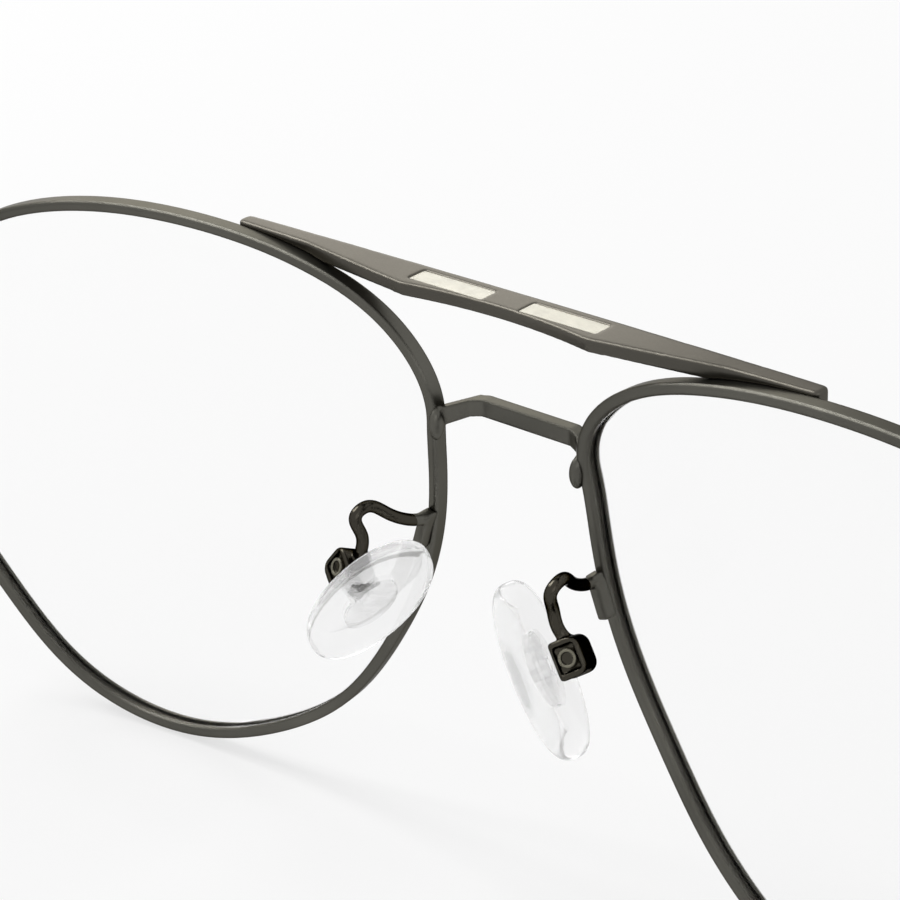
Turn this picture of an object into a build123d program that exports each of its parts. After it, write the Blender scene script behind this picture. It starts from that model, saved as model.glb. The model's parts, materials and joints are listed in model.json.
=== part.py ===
from build123d import *
from math import asin, atan2, cos, degrees, radians, sin, tan
import os

# Double bridge pilot eyeglasses with a metal frame and clear demo lenses.
# +X is the wearer's left, +Y runs back to the ears and +Z is up. Lengths are in millimetres.
# Each side is drawn once for the wearer's left, and mirrored for the right.

# Lens shape and rims
lens_centre_spacing = 68.1
rim_width = 54.5
rim_height = 47.3
rim_wall = 0.9
rim_depth = 1.5
rim_edge_round = 0.25
lens_curve_radius = 130.0
face_wrap_angle = 6.5
lens_setback = 1.36
groove_depth = 0.35
groove_width = 0.6
lens_groove_clearance = 0.03
lens_thickness = 1.2
rim_split_gap = 0.2
outline_steps = 40
cutter_overrun = 8.0

# Rim outline, clockwise from the nose side, in shares of half the rim's width and height
rim_outline_shares = [
    (-1.0, 0.526),
    (-0.965, 0.712),
    (-0.846, 0.847),
    (-0.626, 0.944),
    (-0.222, 0.998),
    (0.072, 0.993),
    (0.372, 0.944),
    (0.695, 0.796),
    (0.934, 0.483),
    (1.0, 0.103),
    (0.938, -0.32),
    (0.765, -0.616),
    (0.512, -0.882),
    (0.273, -0.984),
    (0.024, -0.992),
    (-0.310, -0.866),
    (-0.607, -0.620),
    (-0.780, -0.345),
    (-0.916, -0.037),
    (-0.976, 0.230),
]

# Brow bar
bar_length = 52.0
bar_height = 1.15
bar_top_height = 47.1
bar_tip_rise = 0.3
bar_front_bow = 0.8
bar_front_lead = 0.9
bar_tip_width = 1.45
bar_tip_round = 0.5
bar_shoulder_x = 19.0
bar_shoulder_y = 1.3
bar_shoulder_round = 8.0
bar_undercut = 0.5
bar_tip_undercut = 0.1
bar_kink_x = 8.3
bar_kink_y = 2.95
bar_kink_round = 2.0
bar_waist_y = 2.1
bar_edge_round = 0.2

# Recesses in the brow bar's top, and the pale inlays in them
recess_inner_x = 1.7
recess_outer_x = 8.4
recess_width = 1.65
recess_depth = 0.45
inlay_thickness = 0.4

# Lower bridge
bridge_below_bar = 9.2
bridge_strip_height = 1.3
bridge_strip_depth = 1.1
bridge_middle_y = -1.15
bridge_kink_x = 4.6
bridge_kink_taper = 0.35
bridge_kink_round = 0.9
bridge_end_x = 7.0
bridge_tab_inner_x = 6.5
bridge_tab_front_y = 0.5
bridge_tab_rear_y = 2.4
bridge_tab_leg_y = 1.5
bridge_tab_drop = 0.9
bridge_tab_height = 2.1
bridge_tab_leg_drop = 1.9
bridge_tab_round = 0.5

# Endpiece, closing block and rim screw
split_height = 37.0
endpiece_height = 3.0
endpiece_thickness = 1.4
endpiece_front_y = 5.4
endpiece_outer_x = 66.0
endpiece_rear_y = 13.0
endpiece_outer_round = 2.6
endpiece_root_x = 56.5
block_outer_x = 61.4
block_depth = 2.6
block_edge_round = 0.3
closing_block_height = 1.5
rim_screw_x = 60.1
rim_screw_radius = 0.45
rim_screw_length = 3.6
rim_screw_head_radius = 0.8
rim_screw_head_height = 0.5
screw_slot_width = 0.25
screw_slot_depth = 0.2

# Hinge
hinge_barrel_radius = 1.1
hinge_barrel_height = 1.1
hinge_barrel_gap = 0.1
hinge_side_clearance = 0.1
hinge_turning_clearance = 0.3
hinge_leaf_thickness = 0.6
hinge_leaf_length = 3.0
hinge_screw_radius = 0.55
hinge_screw_running_clearance = 0.05
hinge_screw_head_radius = 0.9
hinge_screw_head_height = 0.45

# Temple and its tip
temple_start_gap = 0.2
temple_thickness = 1.2
temple_height = 3.0
temple_rear_height = 1.8
temple_slope_angle = 6.5
temple_straight_length = 92.0
temple_bend_radius = 24.0
temple_bend_angle = 34.0
temple_core_height = 1.3
temple_core_end_gap = 4.0
tip_overlap_length = 22.0
tip_thickness = 3.2
tip_front_height = 4.0
tip_paddle_height = 6.2
tip_end_taper_length = 2.0
tip_end_reach = 2.1
tip_edge_round = 1.1
tip_taper_share = 0.42
tip_end_round_share = 0.34

# Nose pad, its insert, arm and screw
pad_length = 13.0
pad_width = 7.6
pad_thickness = 2.2
pad_edge_round = 0.9
pad_centre_x = 8.1
pad_centre_y = 7.95
pad_centre_height = 24.0
pad_mount_shift = 0.8
pad_flare_angle = 36.6
pad_rake_angle = 9.8
pad_splay_angle = 30.0
insert_plate_length = 5.6
insert_plate_width = 3.2
insert_plate_thickness = 0.5
insert_tab_length = 1.2
insert_tab_thickness = 0.9
pad_screw_offset = 2.85
pad_screw_radius = 0.35
pad_screw_running_clearance = 0.05
pad_screw_head_radius = 0.68
pad_screw_head_height = 0.35
pad_box_length = 2.8
pad_box_width = 2.6
pad_box_depth = 2.2
pad_box_front_gap = 0.7
pad_box_slot_clearance = 0.12
pad_box_slot_reach = 0.95
pad_box_wire_seat = 0.2
pad_box_round = 0.8
pad_box_edge_round = 0.2
pad_box_pocket_depth = 0.45
pad_box_pocket_length = 1.9
pad_box_pocket_width = 1.6
arm_wire_radius = 0.48
arm_foot_length = 3.4
arm_foot_width = 0.9
arm_foot_depth = 1.1
arm_foot_seat = 0.1
arm_foot_centre_x = 8.3
arm_foot_centre_height = 27.1
arm_foot_lean_angle = 19.0

# Places along the pad arm's wire, from the foot to the box, as x, y and height
arm_wire_places = [
    (8.2, 3.6, 28.8),
    (8.6, 5.2, 29.9),
    (9.05, 6.75, 30.85),
    (9.1, 7.85, 30.45),
    (8.9, 7.5, 28.9),
    (9.1, 7.4, 27.7),
]

rim_centre_x = lens_centre_spacing / 2
rim_centre_height = rim_height / 2
half_spacing = Location((rim_centre_x, lens_setback, rim_centre_height), (0, 0, face_wrap_angle))


def other_side(shape):
    """Mirror a piece of the wearer's left side to the right side."""
    return mirror(shape, about=Plane.YZ)


def largest(shape):
    """The shape's biggest solid, without loose slivers."""
    return max(shape.solids(), key=lambda solid: solid.volume)


def block(low, high):
    """A box between two corners."""
    size = [high[i] - low[i] for i in range(len(low))]
    middle = [(high[i] + low[i]) / 2 for i in range(len(low))]
    return Pos(*middle) * Box(*size)


def upright(radius, x, y, low, high):
    """A vertical cylinder between two heights."""
    return Pos(x, y, (low + high) / 2) * Cylinder(radius, high - low)


def rim_outline(inset):
    """The rim's outline moved inwards by the inset, as a face in the XZ plane."""
    points = [(x * rim_width / 2, z * rim_height / 2) for x, z in rim_outline_shares]
    base = Spline(*points, periodic=True)
    moved = []
    for step in range(outline_steps):
        share = step / outline_steps
        spot = base @ share
        heading = base % share
        moved.append((spot.X + heading.Y * inset, spot.Y - heading.X * inset))
    return Plane.XZ * make_face(Spline(*moved, periodic=True))


def rim_prism(inset):
    """The filled outline run through the front's depth, in the lens's own frame."""
    return extrude(rim_outline(inset), amount=cutter_overrun, both=True)


def lens_shell(front, rear):
    """The space between two depths ahead of the rim's rear face, curved with the lens."""
    centre = Pos(0, lens_curve_radius, 0)
    return centre * Sphere(lens_curve_radius + front) - centre * Sphere(lens_curve_radius + rear)


def rim_solid():
    """One rim in the lens's own frame, with its lens groove."""
    ring = (rim_prism(0) - rim_prism(rim_wall)) & lens_shell(rim_depth, 0)
    ring = fillet(ring.edges(), rim_edge_round)
    groove_front = (rim_depth + groove_width) / 2
    groove = rim_prism(rim_wall - groove_depth) & lens_shell(groove_front, groove_front - groove_width)
    return ring - groove


def lens_solid():
    """A plain demo lens whose tongue sits in the rim's groove."""
    edge_front = (rim_depth + groove_width) / 2 - lens_groove_clearance
    edge_rear = (rim_depth - groove_width) / 2 + lens_groove_clearance
    tongue = rim_prism(rim_wall - groove_depth + lens_groove_clearance)
    tongue = tongue & lens_shell(edge_front, edge_rear)
    body_front = (rim_depth + lens_thickness) / 2
    body = rim_prism(rim_wall + lens_groove_clearance) & lens_shell(body_front, body_front - lens_thickness)
    return tongue + body


def brow_bar_plan(undercut, tip_undercut):
    """The bar seen from above: a bowed front, two rear kinks and slim rounded ends."""
    half = bar_length / 2
    front_tip_y = bar_front_bow - bar_front_lead
    rear_tip_y = front_tip_y + bar_tip_width - tip_undercut
    kink_y = bar_kink_y - undercut
    shoulder_y = bar_shoulder_y - tip_undercut
    front = ThreePointArc((-half, front_tip_y), (0, -bar_front_lead), (half, front_tip_y))
    waist = ThreePointArc((bar_kink_x, kink_y), (0, bar_waist_y - undercut), (-bar_kink_x, kink_y))
    right = Polyline((half, front_tip_y), (half, rear_tip_y), (bar_shoulder_x, shoulder_y), (bar_kink_x, kink_y))
    left = Polyline((-bar_kink_x, kink_y), (-bar_shoulder_x, shoulder_y), (-half, rear_tip_y), (-half, front_tip_y))
    plan = make_face([front, right, waist, left])
    rounds = (
        (bar_kink_x, bar_kink_round),
        (bar_shoulder_x, bar_shoulder_round),
        (half, bar_tip_round),
    )
    for place, radius in rounds:
        corners = [v for v in plan.vertices() if abs(abs(v.X) - place) < bar_edge_round]
        plan = fillet(corners, radius)
    return plan


def brow_bar_solid(rims):
    """The bar, seated on the rims, with its two top recesses."""
    reach = bar_length / 2 + cutter_overrun
    rise = bar_tip_rise * (reach / (bar_length / 2)) ** 2
    upper_plan = Pos(0, 0, bar_top_height + bar_tip_rise) * brow_bar_plan(0, 0)
    lower_plan = Pos(0, 0, bar_top_height - bar_height) * brow_bar_plan(bar_undercut, bar_tip_undercut)
    plan = loft([lower_plan, upper_plan], ruled=True)
    top = ThreePointArc((-reach, rise), (0, 0), (reach, rise))
    bottom = Pos(0, -bar_height, 0) * top
    ends = [Line(top @ share, bottom @ share) for share in (0, 1)]
    side = Pos(0, 0, bar_top_height) * (Plane.XZ * make_face([top, bottom, *ends]))
    bar = plan & extrude(side, amount=cutter_overrun, both=True)
    upper = [e for e in bar.edges() if e.center().Z > bar_top_height - bar_height / 3 and e.length > bar_height]
    bar = fillet(upper, bar_edge_round)
    for sign in (1, -1):
        bar -= recess_box(sign, bar_top_height - recess_depth, bar_top_height + recess_depth)
    for rim in rims:
        bar -= rim
    return largest(bar)


def recess_box(sign, low, high):
    """The space of one top recess between two heights."""
    sides = sorted((sign * recess_inner_x, sign * recess_outer_x))
    return block((sides[0], 0, low), (sides[1], recess_width, high))


def inlay_solid(sign):
    """A thin plate lying on a recess's floor."""
    floor = bar_top_height - recess_depth
    return recess_box(sign, floor, floor + inlay_thickness)


def lower_bridge_solid(rims):
    """A flat strip whose ends bend back and down to tabs on the rims."""
    top = bar_top_height - bridge_below_bar
    bottom = top - bridge_strip_height
    lower_kink_x = bridge_kink_x - bridge_kink_taper
    front_view = [
        (bridge_kink_x, top),
        (bridge_end_x, top - bridge_tab_drop),
        (bridge_end_x, top - bridge_tab_drop - bridge_tab_height),
        (bridge_tab_inner_x, top - bridge_tab_drop - bridge_tab_height),
        (bridge_tab_inner_x, top - bridge_tab_leg_drop),
        (lower_kink_x, bottom),
    ]
    front_y = bridge_middle_y - bridge_strip_depth / 2
    plan_view = [
        (bridge_kink_x, front_y),
        (bridge_end_x, bridge_tab_front_y),
        (bridge_end_x, bridge_tab_rear_y),
        (bridge_tab_inner_x, bridge_tab_rear_y),
        (bridge_tab_inner_x, bridge_tab_leg_y),
        (lower_kink_x, front_y + bridge_strip_depth),
    ]
    views = []
    for half in (front_view, plan_view):
        mirrored = [(-x, other) for x, other in reversed(half)]
        face = make_face(Polyline(*half, *mirrored, close=True))
        kinks = [v for v in face.vertices() if abs(v.X) <= bridge_kink_x]
        face = fillet(kinks, bridge_kink_round)
        views.append(face)
    tab_low = top - bridge_tab_drop - bridge_tab_height
    corners = [v for v in views[0].vertices() if abs(v.X) < bridge_end_x and v.Y < tab_low + bridge_tab_round / 2]
    views[0] = fillet(corners, bridge_tab_round)
    front = extrude(Plane.XZ * views[0], amount=cutter_overrun, both=True)
    plan = extrude(Pos(0, 0, bottom) * views[1], amount=cutter_overrun, both=True)
    strip = front & plan
    for rim in rims:
        strip -= rim
    return largest(strip)


def endpiece_bar():
    """The strip that leaves the rim, turns the corner and runs back to the hinge."""
    low = split_height + rim_split_gap / 2
    high = low + endpiece_height
    inner_x = endpiece_outer_x - endpiece_thickness
    outward = block(
        (endpiece_root_x, endpiece_front_y, low),
        (endpiece_outer_x, endpiece_front_y + endpiece_thickness, high),
    )
    back = block((inner_x, endpiece_front_y, low), (endpiece_outer_x, endpiece_rear_y, high))
    strip = outward + back
    uprights = strip.edges().filter_by(Axis.Z)
    outer = [e for e in uprights if e.center().X > inner_x + endpiece_thickness / 2]
    outer = [e for e in outer if e.center().Y < endpiece_front_y + endpiece_thickness / 2]
    strip = fillet(outer, endpiece_outer_round)
    uprights = strip.edges().filter_by(Axis.Z)
    inner = [e for e in uprights if abs(e.center().X - inner_x) < block_edge_round]
    inner = [e for e in inner if e.center().Y < endpiece_rear_y - endpiece_thickness]
    return fillet(inner, endpiece_outer_round - endpiece_thickness)


def closing_space(low, high):
    """The footprint of the closing blocks between two heights."""
    body = block(
        (endpiece_root_x, endpiece_front_y, low),
        (block_outer_x, endpiece_front_y + block_depth, high),
    )
    outer = [e for e in body.edges().filter_by(Axis.Z) if e.center().X > rim_screw_x]
    return fillet(outer, block_edge_round)


rim_screw_y = endpiece_front_y + block_depth / 2
closing_top = split_height - rim_split_gap / 2
closing_bottom = closing_top - closing_block_height


def endpiece_solid(rim_fill):
    """The endpiece with the upper half of the closing block."""
    low = split_height + rim_split_gap / 2
    piece = endpiece_bar() + closing_space(low, low + endpiece_height)
    piece -= rim_screw_shank()
    return piece - rim_fill


def closing_block_solid(rim_fill):
    """The lower half of the closing block, soldered to the rim's free end."""
    return closing_space(closing_bottom, closing_top) - rim_screw_shank() - rim_fill


def rim_screw_shank():
    return upright(rim_screw_radius, rim_screw_x, rim_screw_y, closing_bottom, closing_bottom + rim_screw_length)


def rim_screw_solid():
    """The screw that draws the rim closed, with its slotted head below."""
    head_low = closing_bottom - rim_screw_head_height
    head = upright(rim_screw_head_radius, rim_screw_x, rim_screw_y, head_low, closing_bottom)
    slot = block(
        (rim_screw_x - rim_screw_head_radius, rim_screw_y - screw_slot_width / 2, head_low),
        (rim_screw_x + rim_screw_head_radius, rim_screw_y + screw_slot_width / 2, head_low + screw_slot_depth),
    )
    return rim_screw_shank() + head - slot


# Hinge places that follow the endpiece
leaf_outer_x = endpiece_outer_x - endpiece_thickness
hinge_x = leaf_outer_x - hinge_barrel_radius - hinge_side_clearance
hinge_y = endpiece_rear_y + temple_start_gap / 2
hinge_height = split_height + (rim_split_gap + endpiece_height) / 2
middle_low = hinge_height - hinge_barrel_height / 2
middle_high = hinge_height + hinge_barrel_height / 2
hinge_low = middle_low - hinge_barrel_gap - hinge_barrel_height
hinge_high = middle_high + hinge_barrel_gap + hinge_barrel_height
leaf_reach = hinge_barrel_radius + hinge_turning_clearance


def front_hinge_solid():
    """The front hinge half: a leaf on the endpiece with an upper and a lower barrel."""
    leaf_low = split_height + rim_split_gap / 2
    inner_x = leaf_outer_x - hinge_leaf_thickness
    leaf = block(
        (inner_x, hinge_y - leaf_reach - hinge_leaf_length, leaf_low),
        (leaf_outer_x, hinge_y - leaf_reach, leaf_low + endpiece_height),
    )
    for low, high in ((hinge_low, middle_low - hinge_barrel_gap), (middle_high + hinge_barrel_gap, hinge_high)):
        leaf += upright(hinge_barrel_radius, hinge_x, hinge_y, low, high)
        leaf += block((inner_x - hinge_leaf_thickness, hinge_y - leaf_reach - hinge_leaf_thickness, low),
                      (leaf_outer_x, endpiece_rear_y, high))
    return leaf - upright(hinge_screw_radius, hinge_x, hinge_y, hinge_low, hinge_high)


def temple_hinge_solid():
    """The temple hinge half: one middle barrel and a leaf on the temple's inner face."""
    inner_x = leaf_outer_x - hinge_leaf_thickness
    leaf = block(
        (inner_x, hinge_y + leaf_reach, hinge_height - temple_rear_height / 2),
        (leaf_outer_x, hinge_y + leaf_reach + hinge_leaf_length, hinge_height + temple_rear_height / 2),
    )
    leaf += upright(hinge_barrel_radius, hinge_x, hinge_y, middle_low, middle_high)
    leaf += block(
        (inner_x - hinge_leaf_thickness, hinge_y, middle_low),
        (leaf_outer_x, hinge_y + leaf_reach + hinge_leaf_thickness, middle_high),
    )
    bore = hinge_screw_radius + hinge_screw_running_clearance
    return leaf - upright(bore, hinge_x, hinge_y, middle_low, middle_high)


def hinge_screw_solid():
    """The hinge screw, with its slotted head on the upper barrel."""
    screw = upright(hinge_screw_radius, hinge_x, hinge_y, hinge_low, hinge_high)
    head_top = hinge_high + hinge_screw_head_height
    screw += upright(hinge_screw_head_radius, hinge_x, hinge_y, hinge_high, head_top)
    slot = block(
        (hinge_x - screw_slot_width / 2, hinge_y - hinge_screw_head_radius, head_top - screw_slot_depth),
        (hinge_x + screw_slot_width / 2, hinge_y + hinge_screw_head_radius, head_top),
    )
    return screw - slot


def temple_line(along):
    """Place and downward heading of the temple's centreline, in the side view."""
    slope = radians(temple_slope_angle)
    start_y = endpiece_rear_y + temple_start_gap
    if along <= temple_straight_length:
        return start_y + along * cos(slope), hinge_height - along * sin(slope), slope
    bend_y = start_y + temple_straight_length * cos(slope)
    bend_height = hinge_height - temple_straight_length * sin(slope)
    turn = min((along - temple_straight_length) / temple_bend_radius, radians(temple_bend_angle))
    rest = along - temple_straight_length - turn * temple_bend_radius
    heading = slope + turn
    y = bend_y + temple_bend_radius * (sin(heading) - sin(slope)) + rest * cos(heading)
    height = bend_height - temple_bend_radius * (cos(slope) - cos(heading)) - rest * sin(heading)
    return y, height, heading


def tip_end_length():
    """Length along the temple at which the tip's lowest corner meets the table."""
    arc_end = temple_straight_length + temple_bend_radius * radians(temple_bend_angle)
    height = temple_line(arc_end)[1]
    heading = temple_line(arc_end)[2]
    return arc_end + (height - tip_end_reach) / sin(heading)


temple_total_length = tip_end_length()


def side_band(stations):
    """A side view band from a list of distances along the temple and half heights."""
    upper = []
    lower = []
    for along, half in stations:
        y, height, heading = temple_line(along)
        upper.append((y + half * sin(heading), height + half * cos(heading)))
        lower.append((y - half * sin(heading), height - half * cos(heading)))
    top = Spline(*upper)
    bottom = Spline(*reversed(lower))
    return upper, lower, top, bottom


def temple_solid():
    """The metal temple: a tapering strip that goes on as a core inside the tip."""
    core_start = temple_straight_length - tip_overlap_length
    core_end = temple_total_length - temple_core_end_gap
    arc_end = temple_straight_length + temple_bend_radius * radians(temple_bend_angle)
    stations = [
        (0, temple_height / 2),
        (core_start / 2, (temple_height + temple_rear_height) / 4),
        (core_start, temple_rear_height / 2),
        (temple_straight_length, temple_core_height / 2),
        ((temple_straight_length + arc_end) / 2, temple_core_height / 2),
        (arc_end, temple_core_height / 2),
        (core_end, temple_core_height / 2),
    ]
    upper, lower, top, bottom = side_band(stations)
    outline = make_face([top, Line(upper[-1], lower[-1]), bottom, Line(lower[0], upper[0])])
    middle_x = endpiece_outer_x - endpiece_thickness + temple_thickness / 2
    return extrude(Pos(middle_x, 0, 0) * (Plane.YZ * outline), amount=temple_thickness / 2, both=True)


def tip_solid(temple):
    """The moulded tip: a sleeve that swells to a paddle behind the ear."""
    start = temple_straight_length - tip_overlap_length
    arc_end = temple_straight_length + temple_bend_radius * radians(temple_bend_angle)
    end = temple_total_length
    stations = [
        (start, tip_front_height / 2),
        ((start + temple_straight_length) / 2, tip_front_height / 2),
        (temple_straight_length, tip_front_height / 2),
        ((temple_straight_length + arc_end) / 2, tip_front_height / 2),
        (arc_end, (tip_front_height + tip_paddle_height) / 4),
        ((arc_end + end) / 2, tip_paddle_height / 2),
        (end - tip_end_taper_length, tip_taper_share * tip_paddle_height),
        (end, tip_end_round_share * tip_paddle_height),
    ]
    upper, lower, top, bottom = side_band(stations)
    y, height, heading = temple_line(end + tip_end_round_share * tip_paddle_height)
    cap = ThreePointArc(upper[-1], (y, height), lower[-1])
    outline = make_face([top, cap, bottom, Line(lower[0], upper[0])])
    middle_x = endpiece_outer_x - endpiece_thickness + temple_thickness / 2
    body = extrude(Pos(middle_x, 0, 0) * (Plane.YZ * outline), amount=tip_thickness / 2, both=True)
    body = fillet(body.edges(), tip_edge_round)
    return body - temple


# The pad's frame: x runs down the pad, y runs back across its width and z points at the nose
flare = radians(pad_flare_angle)
rake = radians(pad_rake_angle)
splay = radians(pad_splay_angle)
pad_down = Vector(sin(flare) * cos(rake), sin(rake), -cos(flare) * cos(rake))
pad_back_guess = Vector(sin(splay), cos(splay), 0)
pad_nose = pad_down.cross(pad_back_guess).normalized() * -1
pad_centre = Vector(pad_centre_x, pad_centre_y, pad_centre_height)
pad_frame = Plane(origin=pad_centre, x_dir=pad_down, z_dir=pad_nose)


def pad_insert_solid():
    """The plate moulded into the pad and its tab, which the pad screw holds."""
    plate = extrude(Ellipse(insert_plate_length / 2, insert_plate_width / 2), amount=insert_plate_thickness / 2, both=True)
    tab = block(
        (-insert_tab_length / 2, -insert_tab_thickness / 2 - pad_mount_shift, -pad_screw_offset),
        (insert_tab_length / 2, insert_tab_thickness / 2 - pad_mount_shift, 0),
    )
    turn = Pos(0, -pad_mount_shift, -pad_screw_offset) * Rot(90, 0, 0)
    tab += turn * Cylinder(insert_tab_length / 2, insert_tab_thickness)
    bore = turn * Cylinder(pad_screw_radius + pad_screw_running_clearance, pad_width)
    return pad_frame * (plate + tab - bore)


def nose_pad_solid(insert):
    """The soft clear pad, moulded round its insert."""
    body = extrude(Ellipse(pad_length / 2, pad_width / 2), amount=pad_thickness / 2, both=True)
    body = fillet(body.edges(), pad_edge_round)
    return pad_frame * body - insert


def pad_screw_solid():
    """The cross screw that holds the pad in its box, with its head in the box's pocket."""
    far_end = pad_box_width / 2 - pad_mount_shift
    near_end = pad_box_pocket_depth - pad_box_width / 2 - pad_mount_shift
    shank = Pos(0, (far_end + near_end) / 2, -pad_screw_offset) * Rot(90, 0, 0)
    shank = shank * Cylinder(pad_screw_radius, far_end - near_end)
    head_middle = pad_box_pocket_depth - (pad_box_width + pad_screw_head_height) / 2
    head = Pos(0, head_middle - pad_mount_shift, -pad_screw_offset) * Rot(90, 0, 0)
    head = head * Cylinder(pad_screw_head_radius, pad_screw_head_height)
    face_y = head_middle - pad_screw_head_height / 2 - pad_mount_shift
    slot = Pos(0, face_y, -pad_screw_offset)
    slot = slot * Box(2 * pad_screw_head_radius, 2 * screw_slot_depth, screw_slot_width)
    return pad_frame * (shank + head - slot)


def pad_arm_solid(rim):
    """The pad arm: a foot on the rim's rear face, a bent wire and the pad box."""
    box_front = -pad_thickness / 2 - pad_box_front_gap
    body = block(
        (-pad_box_length / 2, -pad_box_width / 2, box_front - pad_box_depth),
        (pad_box_length / 2, pad_box_width / 2, box_front),
    )
    back_edges = [e for e in body.edges().filter_by(Axis.Y) if e.center().Z < box_front - pad_box_depth / 2]
    body = fillet(back_edges, pad_box_round)
    body = fillet(body.edges(), pad_box_edge_round)
    slot_half = insert_tab_thickness / 2 + pad_box_slot_clearance
    slot_depth = pad_screw_offset + insert_tab_length / 2 + pad_box_slot_clearance + box_front
    slot_space = block(
        (-pad_box_slot_reach, -slot_half, box_front - slot_depth),
        (pad_box_length, slot_half, box_front),
    )
    shifted = Pos(0, -pad_mount_shift, 0)
    slot_space = pad_frame * (shifted * slot_space)
    body -= Pos(0, 0, -pad_screw_offset) * Rot(90, 0, 0) * Cylinder(pad_screw_radius, pad_box_width)
    body -= block(
        (-pad_box_pocket_length / 2, -pad_box_width, -pad_screw_offset - pad_box_pocket_width / 2),
        (pad_box_pocket_length / 2, pad_box_pocket_depth - pad_box_width / 2, pad_box_pocket_width / 2 - pad_screw_offset),
    )
    body = pad_frame * (shifted * body)
    wire_end_x = pad_box_wire_seat - pad_box_length / 2
    wire_end = pad_frame.from_local_coords((wire_end_x, -pad_mount_shift, box_front - pad_box_depth / 2))
    rear_y = rim_rear_y_at_foot()
    foot_y = rear_y + (arm_foot_depth - arm_foot_seat) / 2
    foot = Pos(arm_foot_centre_x, foot_y, arm_foot_centre_height) * Rot(0, -arm_foot_lean_angle, 0)
    foot = foot * Box(arm_foot_width, arm_foot_depth + arm_foot_seat, arm_foot_length)
    lean = radians(arm_foot_lean_angle)
    reach = arm_foot_length / 2 - arm_wire_radius
    wire_start = (
        arm_foot_centre_x - reach * sin(lean),
        rear_y + arm_foot_depth / 2,
        arm_foot_centre_height + reach * cos(lean),
    )
    path = Spline(wire_start, *arm_wire_places, wire_end)
    section = Plane(origin=path @ 0, z_dir=path % 0) * Circle(arm_wire_radius)
    wire = sweep(section, path=path)
    arm = wire + body + foot - rim - slot_space
    return largest(arm)


def rim_rear_y_at_foot():
    """How far back the rim's rear face lies where the pad arm's foot meets it."""
    across = (arm_foot_centre_x - rim_centre_x) / cos(radians(face_wrap_angle))
    up = arm_foot_centre_height - rim_centre_height
    sag = (across * across + up * up) / (2 * lens_curve_radius)
    return lens_setback + across * sin(radians(face_wrap_angle)) + sag * cos(radians(face_wrap_angle))


def build_left_side():
    """Every piece of the wearer's left side, by its name, and the rim before it is split."""
    rim_whole = half_spacing * rim_solid()
    rim_fill = half_spacing * rim_prism(0)
    split = block(
        (endpiece_root_x, -cutter_overrun, split_height - rim_split_gap / 2),
        (block_outer_x, endpiece_rear_y, split_height + rim_split_gap / 2),
    )
    insert = pad_insert_solid()
    temple = temple_solid()
    pieces = {
        "rim": rim_whole - split,
        "lens": half_spacing * lens_solid(),
        "endpiece": endpiece_solid(rim_fill),
        "closing_block": closing_block_solid(rim_fill),
        "rim_screw": rim_screw_solid(),
        "front_hinge": front_hinge_solid(),
        "hinge_screw": hinge_screw_solid(),
        "temple_hinge": temple_hinge_solid(),
        "temple": temple,
        "temple_tip": tip_solid(temple),
        "pad_arm": pad_arm_solid(rim_whole),
        "pad_screw": pad_screw_solid(),
        "pad_insert": insert,
        "nose_pad": nose_pad_solid(insert),
    }
    return pieces, rim_whole


def build_all():
    """Every piece of the glasses, by its node name, at its place in the worn layout."""
    left, rim_whole = build_left_side()
    pieces = {}
    for name, solid in left.items():
        pieces[name + "_left"] = solid
        pieces[name + "_right"] = other_side(solid)
    pieces["brow_bar"] = brow_bar_solid([rim_whole, other_side(rim_whole)])
    pieces["lower_bridge"] = lower_bridge_solid([rim_whole, other_side(rim_whole)])
    pieces["brow_bar_inlay_left"] = inlay_solid(1)
    pieces["brow_bar_inlay_right"] = inlay_solid(-1)
    return pieces


def main():
    os.makedirs("parts", exist_ok=True)
    pieces = build_all()
    whole = Compound(children=[Compound([*piece.solids()]) for piece in pieces.values()]).bounding_box()
    to_origin = Pos(0, -(whole.min.Y + whole.max.Y) / 2, -whole.min.Z)
    print("moved to the origin by", to_origin.position)
    print("hinge at", hinge_x, hinge_y, hinge_height)
    screw = pad_frame.from_local_coords((0, -pad_mount_shift, -pad_screw_offset))
    print("pad screw at", screw, "along", pad_frame.y_dir)
    for name, piece in pieces.items():
        export_step(to_origin * piece, f"parts/{name}.step")


main()
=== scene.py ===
import json
from math import cos, radians, sin

import bmesh
import bpy
from mathutils import Matrix, Vector


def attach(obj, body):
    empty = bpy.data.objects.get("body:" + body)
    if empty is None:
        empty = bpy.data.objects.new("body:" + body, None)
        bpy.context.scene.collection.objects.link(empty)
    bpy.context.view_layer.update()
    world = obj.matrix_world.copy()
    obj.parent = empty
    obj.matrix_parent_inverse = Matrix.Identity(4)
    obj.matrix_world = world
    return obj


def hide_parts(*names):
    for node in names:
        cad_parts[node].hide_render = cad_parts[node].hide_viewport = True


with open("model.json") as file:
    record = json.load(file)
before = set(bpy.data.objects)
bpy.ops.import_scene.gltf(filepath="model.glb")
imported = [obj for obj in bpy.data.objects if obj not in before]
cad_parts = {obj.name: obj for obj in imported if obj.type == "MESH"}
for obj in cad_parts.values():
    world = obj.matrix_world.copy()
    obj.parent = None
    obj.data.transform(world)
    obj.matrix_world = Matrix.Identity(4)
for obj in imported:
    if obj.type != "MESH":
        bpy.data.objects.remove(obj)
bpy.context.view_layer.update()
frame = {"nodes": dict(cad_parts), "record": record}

# Double bridge eyeglasses in dark satin metal, seen from behind and above

# Every object is in metres, and small sizes are given in mm
MM = 0.001

# The sign of X on the wearer's left and right, and the way up
side_signs = {"left": 1, "right": -1}
upwards = Vector((0, 0, 1))

# The camera's place in metres, its turn in degrees and its lens in mm, from the photograph's view
camera_place = Vector((-0.112799, 0.058895, 0.119511))
camera_azimuth = 42.647
camera_elevation = 26.005
camera_roll = -2.748
camera_lens = 108.19
camera_sensor_width = 36.0
camera_nearest = 0.005

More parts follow.
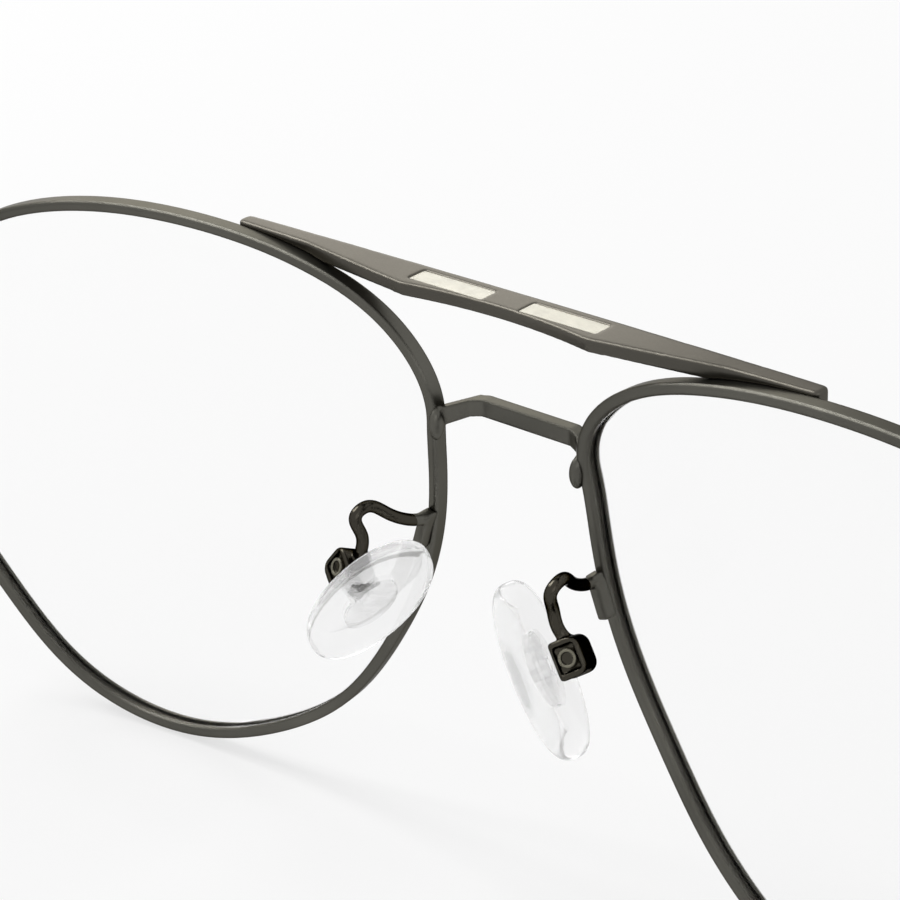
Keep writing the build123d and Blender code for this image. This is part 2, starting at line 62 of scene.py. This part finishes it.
# The lamps, with places and sizes in metres and powers in watts, all aimed at the middle of the front
lamps = {
    "key_lamp": {"place": (0.78, 0.0, 1.1), "power": 9.5, "size": 0.6},
    "fill_lamp": {"place": (-1.1, 0.3, 0.6), "power": 1.5, "size": 0.8},
    "back_lamp": {"place": (1.05, -0.85, 0.42), "power": 6.0, "size": 0.8},
    "spark_lamp": {"place": (1.1, 0.0, 0.8), "power": 2.0, "size": 0.14},
}
lamps_aim = (0.0, -0.06, 0.03)

# The room's light on the object, and the backdrop that the camera, metal and glass see
room_level = 0.42
backdrop_level = 0.95

# The floor's size and drop in metres, its grey for diffuse light, and its two levels for the camera
floor_size = 6.0
floor_drop = 0.0002
floor_grey = 0.85
floor_matte_level = 0.27
floor_glow_level = 0.68


def clear_selection():
    """Deselect everything, so that an operator works on its own piece only."""
    bpy.ops.object.select_all(action="DESELECT")


def select_only(piece):
    """Select one piece and make it the active one."""
    clear_selection()
    piece.select_set(True)
    bpy.context.view_layer.objects.active = piece


def set_camera():
    """The camera behind the glasses, turned as the photograph shows."""
    turn = radians(camera_azimuth)
    tilt = radians(camera_elevation)
    roll = radians(camera_roll)
    toward = Vector((-sin(turn) * cos(tilt), cos(turn) * cos(tilt), sin(tilt)))
    level_right = Vector((-cos(turn), -sin(turn), 0.0))
    level_up = toward.cross(level_right)
    right = level_right * cos(roll) + level_up * sin(roll)
    up = level_up * cos(roll) - level_right * sin(roll)
    clear_selection()
    bpy.ops.object.camera_add(location=camera_place)
    camera = bpy.context.object
    camera.name = "photo_camera"
    turned = Matrix((right, up, toward)).transposed().to_4x4()
    camera.matrix_world = Matrix.Translation(camera_place) @ turned
    camera.data.lens = camera_lens
    camera.data.sensor_width = camera_sensor_width
    camera.data.clip_start = camera_nearest
    bpy.context.scene.camera = camera


def add_lamp(name, place, power, size):
    """A soft square lamp that points at the middle of the front."""
    clear_selection()
    bpy.ops.object.light_add(type="AREA", location=place)
    lamp = bpy.context.object
    lamp.name = name
    lamp.data.energy = power
    lamp.data.size = size
    direction = Vector(lamps_aim) - Vector(place)
    lamp.rotation_euler = direction.to_track_quat("-Z", "Y").to_euler()


# The places of a mix node's colour sockets, whose names its number sockets have too
mix_first_colour = 6
mix_second_colour = 7
mix_result_colour = 2


def grey(level):
    """An opaque grey as a colour."""
    return (level, level, level, 1.0)


def set_inputs(node, values):
    """Set a node's inputs by their names."""
    for name, value in values.items():
        node.inputs[name].default_value = value


def feed(tree, source, socket):
    """Link an output to an input, or give the input a plain value."""
    if isinstance(source, bpy.types.NodeSocket):
        tree.links.new(source, socket)
    else:
        socket.default_value = source


def math_result(tree, operation, *sources):
    """The output of a math node that is fed with outputs or numbers."""
    node = tree.nodes.new("ShaderNodeMath")
    node.operation = operation
    for source, socket in zip(sources, node.inputs):
        feed(tree, source, socket)
    return node.outputs[0]


def mixed_colour(tree, share, first, second):
    """The output of a node that blends two colours, fed with outputs or plain colours."""
    node = tree.nodes.new("ShaderNodeMix")
    node.data_type = "RGBA"
    feed(tree, share, node.inputs["Factor"])
    feed(tree, first, node.inputs[mix_first_colour])
    feed(tree, second, node.inputs[mix_second_colour])
    return node.outputs[mix_result_colour]


def show_mixed_shader(tree, share, first, second, output):
    """Blend two shaders by a share, and send the result to the surface."""
    mix = tree.nodes.new("ShaderNodeMixShader")
    tree.links.new(share, mix.inputs["Fac"])
    tree.links.new(first.outputs[0], mix.inputs[1])
    tree.links.new(second.outputs[0], mix.inputs[2])
    tree.links.new(mix.outputs[0], output.inputs["Surface"])


def noise(tree, scale, detail):
    """A noise pattern from 0 to 1 on the object's own coordinates."""
    place = tree.nodes.new("ShaderNodeTexCoord")
    pattern = tree.nodes.new("ShaderNodeTexNoise")
    tree.links.new(place.outputs["Object"], pattern.inputs["Vector"])
    feed(tree, scale, pattern.inputs["Scale"])
    pattern.inputs["Detail"].default_value = detail
    return pattern.outputs["Fac"]


def background_rays(tree):
    """One where a camera, glossy or transmission ray meets the surface."""
    path = tree.nodes.new("ShaderNodeLightPath")
    rays = [path.outputs[f"Is {kind} Ray"] for kind in ("Camera", "Glossy", "Transmission")]
    return math_result(tree, "MAXIMUM", math_result(tree, "MAXIMUM", rays[0], rays[1]), rays[2])


def set_room():
    """A plain bright room that the camera, metal and glass see as a pale backdrop."""
    world = bpy.data.worlds.new("pale_room")
    bpy.context.scene.world = world
    world.use_nodes = True
    tree = world.node_tree
    tree.nodes.clear()
    room = tree.nodes.new("ShaderNodeBackground")
    set_inputs(room, {"Color": grey(1.0), "Strength": room_level})
    backdrop = tree.nodes.new("ShaderNodeBackground")
    set_inputs(backdrop, {"Color": grey(1.0), "Strength": backdrop_level})
    output = tree.nodes.new("ShaderNodeOutputWorld")
    show_mixed_shader(tree, background_rays(tree), room, backdrop, output)


def floor_material():
    """A matte floor that glows where the camera sees it, so that it is pale and still takes a shadow."""
    material = bpy.data.materials.new("pale_floor")
    material.use_nodes = True
    tree = material.node_tree
    tree.nodes.clear()
    matte = tree.nodes.new("ShaderNodeBsdfDiffuse")
    set_inputs(matte, {"Color": grey(floor_grey)})
    shadowed = tree.nodes.new("ShaderNodeBsdfDiffuse")
    set_inputs(shadowed, {"Color": grey(floor_matte_level)})
    glow = tree.nodes.new("ShaderNodeEmission")
    set_inputs(glow, {"Strength": floor_glow_level})
    both = tree.nodes.new("ShaderNodeAddShader")
    tree.links.new(shadowed.outputs[0], both.inputs[0])
    tree.links.new(glow.outputs[0], both.inputs[1])
    output = tree.nodes.new("ShaderNodeOutputMaterial")
    show_mixed_shader(tree, background_rays(tree), matte, both, output)
    return material


def add_floor():
    """A pale floor that keeps the soft shadow of the glasses."""
    clear_selection()
    bpy.ops.mesh.primitive_plane_add(size=floor_size, location=(0, 0, -floor_drop))
    floor = bpy.context.object
    floor.name = "floor"
    floor.data.materials.append(floor_material())


# What all solid finishes share: the grain of the surface, how its blotches show, and how its edges show the
# painted shade or highlight
grain_scale = 6000.0
grain_detail = 3.0
grain_roughness = 0.12
grain_height_mm = 0.02
blotch_detail = 4.0
blotch_middle = 0.5
blotch_gain = 4.0
edge_samples = 4

# How well the rounded normal matches the face's own where the painted edge colour starts, and where it is
# full
edge_first_match = 0.995
edge_full_match = 0.88

# The warm tone of reflections at a grazing angle
grazing_tint = (1.0, 0.98, 0.95)

# The named sockets of the group for the finish and its painted edges
finish_inputs = {
    "Colour": "NodeSocketColor",
    "Painted Edge Colour": "NodeSocketColor",
    "Roughness": "NodeSocketFloat",
    "Grain Scale": "NodeSocketFloat",
    "Blotch": "NodeSocketFloat",
    "Blotch Scale": "NodeSocketFloat",
    "Edge Width": "NodeSocketFloat",
    "Edge Amount": "NodeSocketFloat",
}
finish_outputs = {
    "Colour": "NodeSocketColor",
    "Roughness": "NodeSocketFloat",
    "Height": "NodeSocketFloat",
    "Normal": "NodeSocketVector",
}


def blotched_colour(group, given):
    """The colour, lighter and darker by soft blotches."""
    blotch = noise(group, given.outputs["Blotch Scale"], blotch_detail)
    centred = math_result(group, "SUBTRACT", blotch, blotch_middle)
    scaled = math_result(group, "MULTIPLY", centred, given.outputs["Blotch"])
    level = math_result(group, "MULTIPLY_ADD", scaled, blotch_gain, 1.0)
    tinted = group.nodes.new("ShaderNodeVectorMath")
    tinted.operation = "SCALE"
    group.links.new(given.outputs["Colour"], tinted.inputs[0])
    group.links.new(level, tinted.inputs["Scale"])
    return tinted.outputs[0]


def painted_edge_share(group, given, rounded):
    """How much of the painted edge shade or highlight shows, from where a rounded normal leaves the face's
    own normal.
    """
    geometry = group.nodes.new("ShaderNodeNewGeometry")
    match = group.nodes.new("ShaderNodeVectorMath")
    match.operation = "DOT_PRODUCT"
    group.links.new(rounded.outputs["Normal"], match.inputs[0])
    group.links.new(geometry.outputs["Normal"], match.inputs[1])
    edge = group.nodes.new("ShaderNodeMapRange")
    set_inputs(edge, {"From Min": edge_first_match, "From Max": edge_full_match})
    group.links.new(match.outputs["Value"], edge.inputs["Value"])
    return math_result(group, "MULTIPLY", edge.outputs["Result"], given.outputs["Edge Amount"])


def make_finish_and_painted_edges_group():
    """Fine grain, soft blotches, rounded edges and an edge colour that paints shade or a highlight along
    them, for a metal, enamel or plastic surface.
    """
    group = bpy.data.node_groups.new("finish_and_painted_edges", "ShaderNodeTree")
    for direction, sockets in (("INPUT", finish_inputs), ("OUTPUT", finish_outputs)):
        for name, kind in sockets.items():
            group.interface.new_socket(name=name, in_out=direction, socket_type=kind)
    given = group.nodes.new("NodeGroupInput")
    result = group.nodes.new("NodeGroupOutput")
    grain = noise(group, given.outputs["Grain Scale"], grain_detail)
    rounded = group.nodes.new("ShaderNodeBevel")
    rounded.samples = edge_samples
    group.links.new(given.outputs["Edge Width"], rounded.inputs["Radius"])
    colour = blotched_colour(group, given)
    # The edge colour paints shade or a highlight along the edges
    colour = mixed_colour(group, painted_edge_share(group, given, rounded), colour, given.outputs["Painted Edge Colour"])
    roughness = math_result(group, "MULTIPLY_ADD", grain, grain_roughness, given.outputs["Roughness"])
    group.links.new(colour, result.inputs["Colour"])
    group.links.new(roughness, result.inputs["Roughness"])
    group.links.new(grain, result.inputs["Height"])
    group.links.new(rounded.outputs["Normal"], result.inputs["Normal"])
    return group


finish_and_painted_edges_group = make_finish_and_painted_edges_group()


def finish_with_painted_edges(name, colour, painted_edge_colour, roughness, metallic, blotch, edge_amount, blotch_scale=180.0,
                    edge_width_mm=0.12, grazing=1.0, gloss=0.5, grain_depth=0.05):
    """A solid finish with grain, blotches and edges of another tone, which paints shade or a highlight
    along them.
    """
    material = bpy.data.materials.new(name)
    material.use_nodes = True
    tree = material.node_tree
    finish = tree.nodes.new("ShaderNodeGroup")
    finish.node_tree = finish_and_painted_edges_group
    set_inputs(finish, {
        "Colour": (*colour, 1.0),
        "Painted Edge Colour": (*painted_edge_colour, 1.0),
        "Roughness": roughness,
        "Grain Scale": grain_scale,
        "Blotch": blotch,
        "Blotch Scale": blotch_scale,
        "Edge Width": edge_width_mm * MM,
        "Edge Amount": edge_amount,
    })
    bump = tree.nodes.new("ShaderNodeBump")
    set_inputs(bump, {"Strength": grain_depth, "Distance": grain_height_mm * MM})
    shader = tree.nodes["Principled BSDF"]
    set_inputs(shader, {
        "Metallic": metallic,
        "Specular Tint": (*[grazing * share for share in grazing_tint], 1.0),
        "Specular IOR Level": gloss,
    })
    tree.links.new(finish.outputs["Colour"], shader.inputs["Base Color"])
    tree.links.new(finish.outputs["Roughness"], shader.inputs["Roughness"])
    tree.links.new(finish.outputs["Height"], bump.inputs["Height"])
    tree.links.new(finish.outputs["Normal"], bump.inputs["Normal"])
    tree.links.new(bump.outputs["Normal"], shader.inputs["Normal"])
    return material


# What all clear materials share: a faint cloudiness, the coat's polish and the grey of light that passes
cloud_scale = 220.0
cloud_detail = 2.0
cloud_darkening = 0.985
cloud_roughening = 2.0
coat_roughness = 0.02
passing_grey = 0.99


def clear_material(name, brightness, roughness, refraction, clearness, transmission=1.0, coat=0.0):
    """Clear plastic or silicone that lets the light of the lamps through."""
    material = bpy.data.materials.new(name)
    material.use_nodes = True
    tree = material.node_tree
    shader = tree.nodes["Principled BSDF"]
    set_inputs(shader, {
        "Roughness": roughness,
        "Transmission Weight": transmission,
        "Coat Weight": coat,
        "Coat Roughness": coat_roughness,
        "IOR": refraction,
    })
    cloud = noise(tree, cloud_scale, cloud_detail)
    tint = mixed_colour(tree, cloud, grey(brightness), grey(cloud_darkening * brightness))
    tree.links.new(tint, shader.inputs["Base Color"])
    if roughness > 0.0:
        uneven = math_result(tree, "MULTIPLY", cloud, cloud_roughening * roughness)
        tree.links.new(uneven, shader.inputs["Roughness"])
    passing = tree.nodes.new("ShaderNodeBsdfTransparent")
    set_inputs(passing, {"Color": grey(passing_grey)})
    path = tree.nodes.new("ShaderNodeLightPath")
    shaded = math_result(tree, "MAXIMUM", path.outputs["Is Shadow Ray"], path.outputs["Is Diffuse Ray"])
    share = math_result(tree, "MAXIMUM", shaded, clearness)
    show_mixed_shader(tree, share, shader, passing, tree.nodes["Material Output"])
    return material


# Satin gunmetal of the rims, bridge, endpieces, hinges and temples, with painted shade along its edges
satin_metal = finish_with_painted_edges(
    "satin_gunmetal",
    colour=(0.104, 0.101, 0.088),
    # painted shade: the rounded edges are drawn darker
    painted_edge_colour=(0.03, 0.028, 0.022),
    roughness=0.25,
    metallic=1.0,
    blotch=0.22,
    blotch_scale=70.0,
    edge_width_mm=0.26,
    edge_amount=0.75,
    grazing=0.4,
)

# The brow bar's gunmetal, with a painted highlight along its edges
bar_metal = finish_with_painted_edges(
    "bar_gunmetal",
    colour=(0.082, 0.077, 0.066),
    # painted highlight: a bright line along the edges
    painted_edge_colour=(0.3, 0.27, 0.22),
    roughness=0.25,
    metallic=1.0,
    blotch=0.16,
    blotch_scale=90.0,
    edge_width_mm=0.12,
    edge_amount=0.8,
    grazing=0.6,
)

# Polished dark metal of the pad arms, with a faint painted highlight along its edges; it is also the
# painted shade in the hollows of their screws
arm_metal = finish_with_painted_edges(
    "polished_dark_metal_and_hollow_shade",
    colour=(0.048, 0.044, 0.035),
    # painted highlight: slightly lighter edges
    painted_edge_colour=(0.07, 0.064, 0.05),
    roughness=0.1,
    metallic=1.0,
    blotch=0.06,
    edge_amount=0.3,
    grazing=0.1,
)

# Steel of all screws, with painted shade along its edges
screw_steel = finish_with_painted_edges(
    "screw_steel",
    colour=(0.19, 0.18, 0.14),
    # painted shade: darker edges
    painted_edge_colour=(0.04, 0.038, 0.03),
    roughness=0.22,
    metallic=1.0,
    blotch=0.1,
    edge_width_mm=0.2,
    edge_amount=0.7,
)

# Pale enamel of the brow bar's inlays
inlay_enamel = finish_with_painted_edges(
    "pale_enamel",
    colour=(0.67, 0.64, 0.53),
    painted_edge_colour=(0.6, 0.56, 0.44),
    roughness=0.4,
    metallic=0.0,
    blotch=0.12,
    blotch_scale=900.0,
    edge_amount=0.4,
)

# Black moulded plastic of the temple tips
tip_plastic = finish_with_painted_edges(
    "black_tip_plastic",
    colour=(0.008, 0.008, 0.0085),
    painted_edge_colour=(0.02, 0.02, 0.02),
    roughness=0.12,
    metallic=0.0,
    blotch=0.1,
    edge_amount=0.2,
    gloss=0.22,
    grain_depth=0.02,
)

# The lenses, the pads and the plates moulded into the pads
clear_lens = clear_material(
    "clear_lens", brightness=1.0, roughness=0.0, refraction=1.04, clearness=0.6, coat=0.12
)
clear_pad = clear_material(
    "clear_silicone", brightness=0.995, roughness=0.05, refraction=1.13, clearness=0.25, transmission=0.9
)
insert_plastic = clear_material(
    "clear_insert", brightness=0.99, roughness=0.06, refraction=1.2, clearness=0.82
)

finish_of_slot = {
    "frame_metal": satin_metal,
    "bar_metal": bar_metal,
    "arm_metal": arm_metal,
    "screw_steel": screw_steel,
    "inlay_enamel": inlay_enamel,
    "clear_lens": clear_lens,
    "clear_pad": clear_pad,
    "insert_plastic": insert_plastic,
    "tip_plastic": tip_plastic,
}


def dress_cad_nodes():
    """Give every CAD node the finish of its material slot."""
    slot_of_node = {part["node"]: part["material_slot"] for part in frame["record"]["subparts"]}
    for node, shape in frame["nodes"].items():
        shape.data.materials.clear()
        shape.data.materials.append(finish_of_slot[slot_of_node[node]])


# How pieces are melted: points this near are one, and each pass moves a point this share of the way
merge_distance_mm = 0.001
smoothing_share = 0.5

# How much of a face's normal has to look in a direction, and the share of the length that counts as the end
facing_limit = 0.9
end_share = 0.01

# The place of the second material on a piece that has two: the satin feet on the pad arms, and the painted
# shade in the screw heads' hollows
second_material = 1


def finish_piece(piece, material, body, node):
    """Smooth shading, a material and the frame's facts for a finished piece."""
    select_only(piece)
    bpy.ops.object.shade_smooth()
    piece.data.materials.clear()
    piece.data.materials.append(material)
    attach(piece, body)
    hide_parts(node)


def melt_together(piece, voxel_mm, passes):
    """Join the touching forms of a piece into one skin with soft corners."""
    select_only(piece)
    skin = piece.modifiers.new("skin", "REMESH")
    skin.mode = "VOXEL"
    skin.voxel_size = voxel_mm * MM
    soft = piece.modifiers.new("soft", "SMOOTH")
    soft.factor = smoothing_share
    soft.iterations = passes
    bpy.ops.object.modifier_apply(modifier="skin")
    bpy.ops.object.modifier_apply(modifier="soft")


def softened_copy(node, name, voxel_mm, passes):
    """A copy of a node's mesh with melted corners, as polished metal has them."""
    piece = bpy.data.objects.new(name, frame["nodes"][node].data.copy())
    bpy.context.scene.collection.objects.link(piece)
    select_only(piece)
    bpy.ops.object.mode_set(mode="EDIT")
    bpy.ops.mesh.select_all(action="SELECT")
    bpy.ops.mesh.remove_doubles(threshold=merge_distance_mm * MM)
    bpy.ops.object.mode_set(mode="OBJECT")
    melt_together(piece, voxel_mm, passes)
    return piece


def select_end_face(piece, direction):
    """In edit mode, select the flat end of a piece that looks in a direction."""
    bpy.ops.mesh.select_mode(type="FACE")
    bpy.ops.mesh.select_all(action="DESELECT")
    shape = bmesh.from_edit_mesh(piece.data)
    heights = [face.calc_center_median().dot(direction) for face in shape.faces]
    limit = max(heights) - end_share * (max(heights) - min(heights))
    for face, height in zip(shape.faces, heights):
        face.select_set(face.normal.dot(direction) > facing_limit and height >= limit)
    bmesh.update_edit_mesh(piece.data)


def extrude_by(step):
    """In edit mode, extrude the selected faces by a step in metres."""
    bpy.ops.mesh.extrude_region_move(TRANSFORM_OT_translate={"value": step})


def on_side(place_mm, sign):
    """A place or step given in mm for the left side, in metres on the side of the sign."""
    across, back, up = place_mm
    return (across * sign * MM, back * MM, up * MM)


# The brow bar's soft corners
bar_voxel_mm = 0.1
bar_passes = 14


def build_brow_bar():
    """The brow bar with soft corners, all in one satin finish."""
    piece = softened_copy("brow_bar", "softened_bar", bar_voxel_mm, bar_passes)
    finish_piece(piece, bar_metal, "front", "brow_bar")


# The lower bridge's strip: its sections from the end of its straight middle to its left end, in mm
bridge_sections_mm = (
    {"centre": (4.0, -72.09, 37.26), "half_depth": 0.55, "half_height": 0.65},
    {"centre": (4.9, -71.8, 37.16), "half_depth": 0.66, "half_height": 0.66},
    {"centre": (6.85, -69.8, 36.5), "half_depth": 0.72, "half_height": 0.75},
)

# A cube of this side has half sizes of one, so that its scale is its half size
cube_side = 2.0

# The lug and the bead of solder at the strip's left end, and how all are melted together
lug_place_mm = (6.5, -69.35, 36.15)
lug_half_size_mm = (0.52, 0.72, 1.2)
bead_place_mm = (6.62, -69.6, 37.2)
bead_half_size_mm = (0.42, 0.5, 0.32)
lump_segments = 32
lump_rings = 16
solder_voxel_mm = 0.07
solder_passes = 8


def extend_strip(strip, sign):
    """Extrude the strip's end on one side from section to section."""
    bpy.ops.object.mode_set(mode="EDIT")
    select_end_face(strip, Vector((sign, 0, 0)))
    for before, section in zip(bridge_sections_mm, bridge_sections_mm[1:]):
        step_mm = [there - here for here, there in zip(before["centre"], section["centre"])]
        extrude_by(on_side(step_mm, sign))
        deeper = section["half_depth"] / before["half_depth"]
        taller = section["half_height"] / before["half_height"]
        centre = on_side(section["centre"], sign)
        bpy.ops.transform.resize(value=(1.0, deeper, taller), center_override=centre)
    bpy.ops.object.mode_set(mode="OBJECT")


def add_bridge_strip():
    """The bent strip, extruded from its straight middle to one end and then to the other."""
    middle = bridge_sections_mm[0]
    half_width, back, up = middle["centre"]
    clear_selection()
    bpy.ops.mesh.primitive_cube_add(size=cube_side, location=(0.0, back * MM, up * MM))
    strip = bpy.context.object
    strip.scale = (half_width * MM, middle["half_depth"] * MM, middle["half_height"] * MM)
    bpy.ops.object.transform_apply(location=True, rotation=False, scale=True)
    for sign in side_signs.values():
        extend_strip(strip, sign)
    return strip


def add_rounded_lump(place_mm, half_size_mm, sign):
    """An egg-shaped lump of metal at a joint."""
    place = on_side(place_mm, sign)
    clear_selection()
    bpy.ops.mesh.primitive_uv_sphere_add(
        segments=lump_segments, ring_count=lump_rings, radius=1.0, location=place
    )
    lump = bpy.context.object
    lump.scale = [half * MM for half in half_size_mm]
    bpy.ops.object.transform_apply(location=True, rotation=False, scale=True)
    return lump


def build_lower_bridge():
    """The strip with its lugs and solder, in one skin."""
    strip = add_bridge_strip()
    forms = [strip]
    for sign in side_signs.values():
        forms.append(add_rounded_lump(lug_place_mm, lug_half_size_mm, sign))
        forms.append(add_rounded_lump(bead_place_mm, bead_half_size_mm, sign))
    clear_selection()
    for form in forms:
        form.select_set(True)
    bpy.context.view_layer.objects.active = strip
    bpy.ops.object.join()
    strip.name = "soldered_bridge"
    melt_together(strip, solder_voxel_mm, solder_passes)
    finish_piece(strip, satin_metal, "front", "lower_bridge")


# The endpieces' soft corners
endpiece_voxel_mm = 0.08
endpiece_passes = 10


def build_endpieces():
    """The endpieces with soft corners."""
    for side in side_signs:
        node = f"endpiece_{side}"
        piece = softened_copy(node, f"softened_{node}", endpiece_voxel_mm, endpiece_passes)
        finish_piece(piece, satin_metal, "front", node)


# The pad arms' round corners, and the plane in front of which their feet are
arm_voxel_mm = 0.075
arm_passes = 30
foot_rear_mm = -68.0


def build_pad_arms():
    """The bent wires with their feet and pad boxes, polished round, with the feet as satin as the rims."""
    for side in side_signs:
        node = f"pad_arm_{side}"
        piece = softened_copy(node, f"polished_arm_{side}", arm_voxel_mm, arm_passes)
        finish_piece(piece, arm_metal, "front", node)
        piece.data.materials.append(satin_metal)
        for face in piece.data.polygons:
            if face.center.y < foot_rear_mm * MM:
                face.material_index = second_material


# The pad screws: a round head with a hollow in it, and a plain shank
screw_head_height_mm = 0.35
screw_shank_radius_mm = 0.33
screw_rim_width_mm = 0.24
screw_hollow_depth_mm = 0.22
screw_edge_round_mm = 0.05
screw_edge_segments = 2
screw_sides = 40
screw_crease_angle = 40

# The hollow's painted shade starts this far below the head's top, and leaves this share of the rim bright
hollow_shade_mm = 0.06
bright_rim_share = 0.9


def measure_pad_screw(side):
    """The CAD screw's place and axis, its head's top and its tail along the axis, and its head's radius."""
    joints = {joint["name"]: joint for joint in frame["record"]["behaviour"]["joints"]}
    joint = joints[f"nose_pad_{side}_rock"]
    centre = Vector(joint["pos_m"])
    axis = Vector(joint["axis"]).normalized()
    offsets = [vertex.co - centre for vertex in frame["nodes"][f"pad_screw_{side}"].data.vertices]
    heights = [offset.dot(axis) for offset in offsets]
    radius = max((offset - axis * height).length for offset, height in zip(offsets, heights))
    return centre, axis, max(heights), min(heights), radius


def shape_pad_screw(screw, head_radius, shank_length):
    """Sink a hollow into the head, draw out the shank below it, and round the edges."""
    bpy.ops.object.mode_set(mode="EDIT")
    select_end_face(screw, upwards)
    bpy.ops.mesh.inset(thickness=screw_rim_width_mm * MM)
    extrude_by((0, 0, -screw_hollow_depth_mm * MM))
    select_end_face(screw, -upwards)
    bpy.ops.mesh.inset(thickness=head_radius - screw_shank_radius_mm * MM)
    extrude_by((0, 0, -shank_length))
    bpy.ops.object.mode_set(mode="OBJECT")
    soft_edge = screw.modifiers.new("soft_edge", "BEVEL")
    soft_edge.width = screw_edge_round_mm * MM
    soft_edge.segments = screw_edge_segments
    bpy.ops.object.modifier_apply(modifier="soft_edge")


def paint_hollow_shade(screw, centre, axis, head_top, head_radius):
    """Paint shade into the head's hollow with the dark metal of the pad arms."""
    screw.data.materials.append(arm_metal)
    hollow_radius = head_radius - bright_rim_share * screw_rim_width_mm * MM
    lowest = head_top - screw_head_height_mm * MM
    highest = head_top - hollow_shade_mm * MM
    for face in screw.data.polygons:
        offset = face.center - centre
        height = offset.dot(axis)
        beside = (offset - axis * height).length
        if beside < hollow_radius and lowest < height < highest:
            face.material_index = second_material


def build_pad_screws():
    """Small screws with a ring-shaped head, one in each pad box."""
    head_height = screw_head_height_mm * MM
    for side in side_signs:
        centre, axis, head_top, tail_end, head_radius = measure_pad_screw(side)
        clear_selection()
        bpy.ops.mesh.primitive_cylinder_add(vertices=screw_sides, radius=head_radius, depth=head_height)
        screw = bpy.context.object
        screw.name = f"ring_screw_{side}"
        shape_pad_screw(screw, head_radius, head_top - tail_end - head_height)
        turn = axis.to_track_quat("Z", "Y").to_matrix().to_4x4()
        screw.matrix_world = Matrix.Translation(centre + axis * (head_top - head_height / 2)) @ turn
        bpy.ops.object.transform_apply(location=True, rotation=True, scale=True)
        finish_piece(screw, screw_steel, "front", f"pad_screw_{side}")
        paint_hollow_shade(screw, centre, axis, head_top, head_radius)
        bpy.ops.object.shade_smooth_by_angle(angle=radians(screw_crease_angle))


bpy.context.scene.view_settings.view_transform = "Standard"
set_camera()
set_room()
add_floor()
for lamp_name, facts in lamps.items():
    add_lamp(lamp_name, **facts)
dress_cad_nodes()
build_brow_bar()
build_lower_bridge()
build_endpieces()
build_pad_arms()
build_pad_screws()
